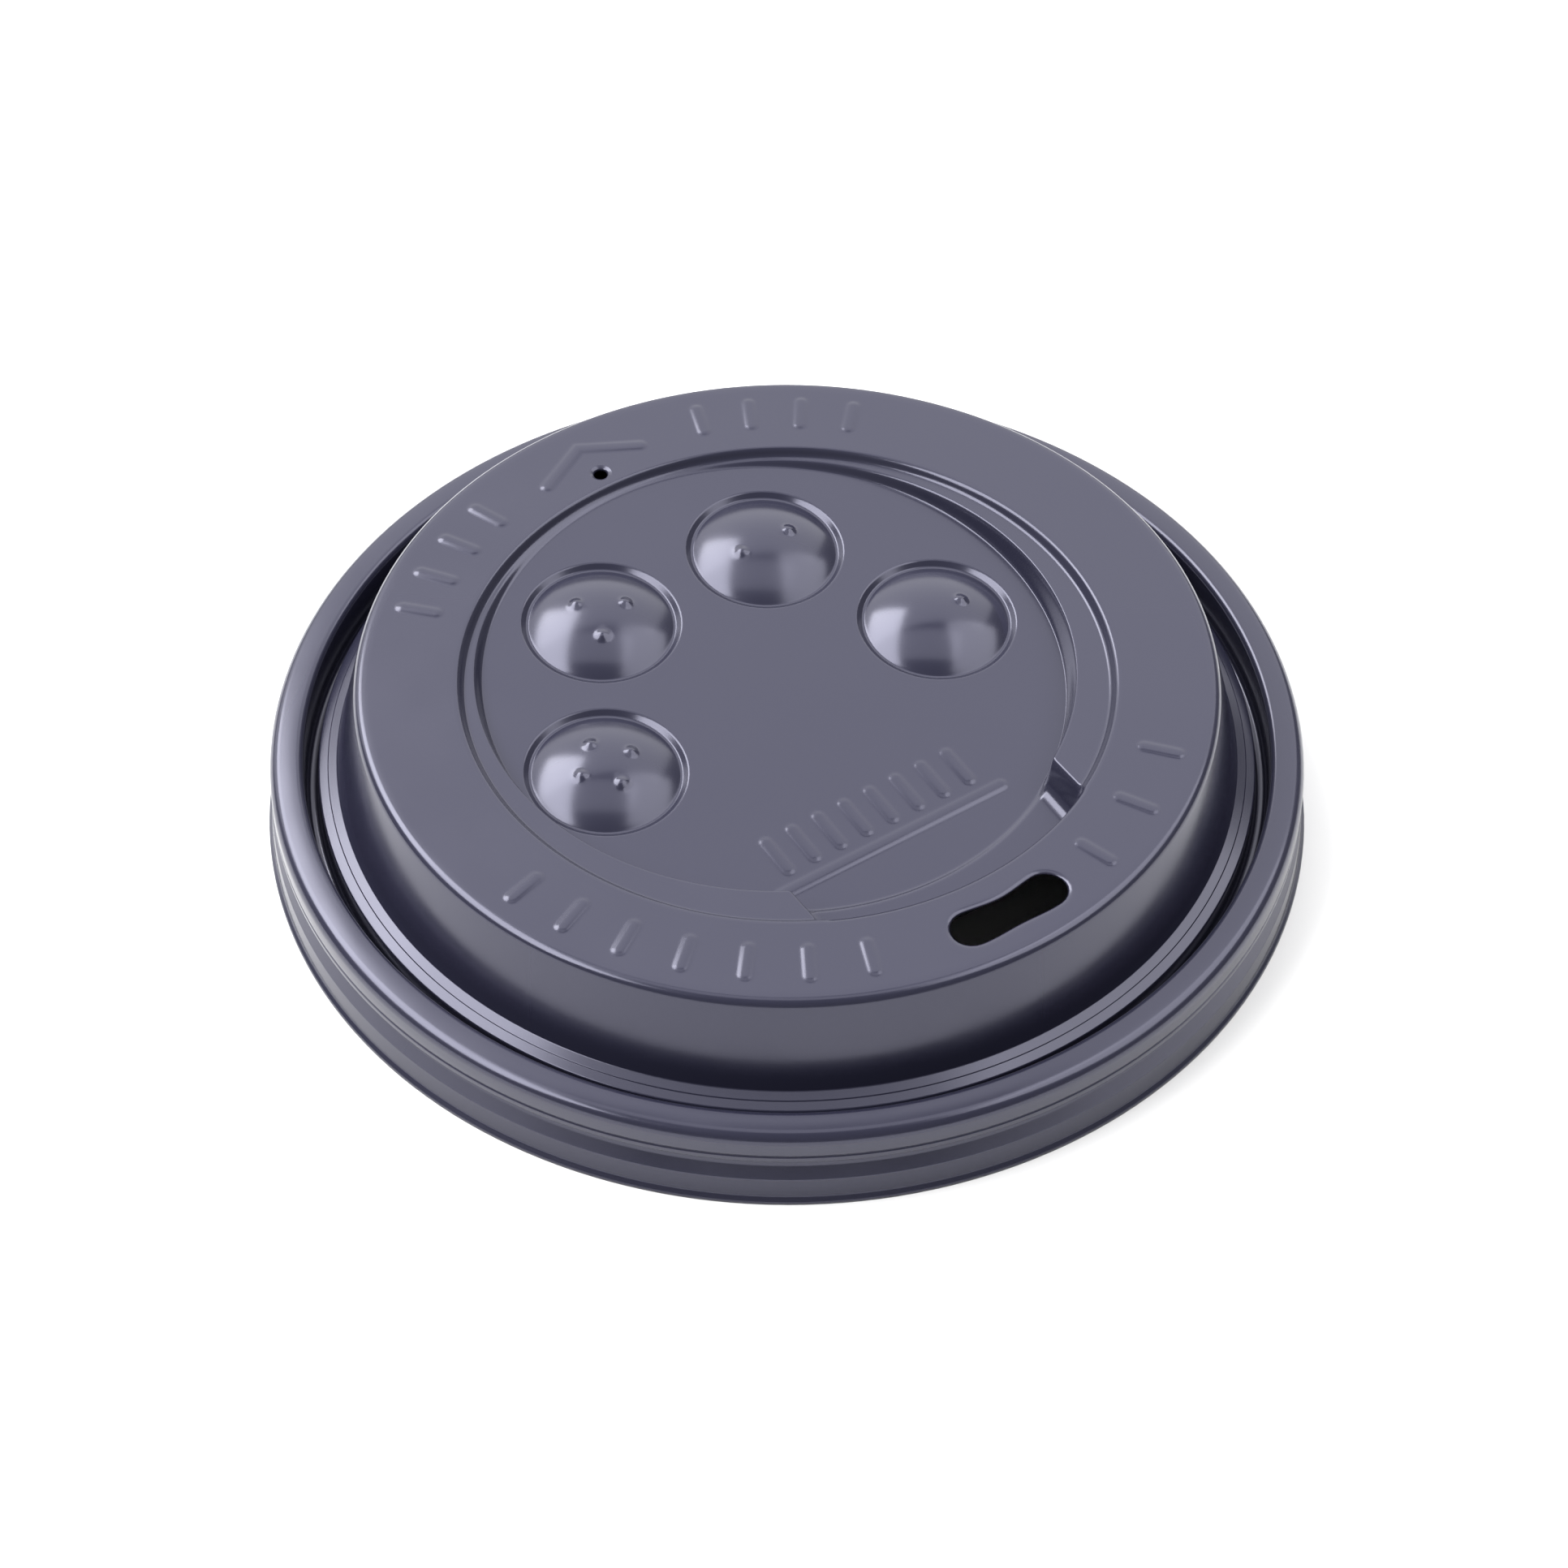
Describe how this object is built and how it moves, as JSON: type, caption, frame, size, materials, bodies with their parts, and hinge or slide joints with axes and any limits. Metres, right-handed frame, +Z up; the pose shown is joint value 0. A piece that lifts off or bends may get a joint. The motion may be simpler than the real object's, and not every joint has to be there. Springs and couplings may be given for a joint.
{
  "type": "coffee cup lid",
  "caption": "Sip-through lid for a takeaway hot cup: snap rim, raised land with a sip slot and a vent, sunken dish with domed drink buttons.",
  "frame": {"origin": "on the lid's axis, level with the bottom of its rim", "axes": "+Z up out of the cup, along the lid's axis; the sip slot lies towards -Y and the air vent towards +Y"},
  "size_m": [0.0936, 0.0936, 0.0159],
  "materials": {
    "polystyrene": "satin dark slate grey thermoformed polystyrene sheet"
  },
  "bodies": {
    "root": {"lid": "polystyrene"}
  },
  "joints": []
}
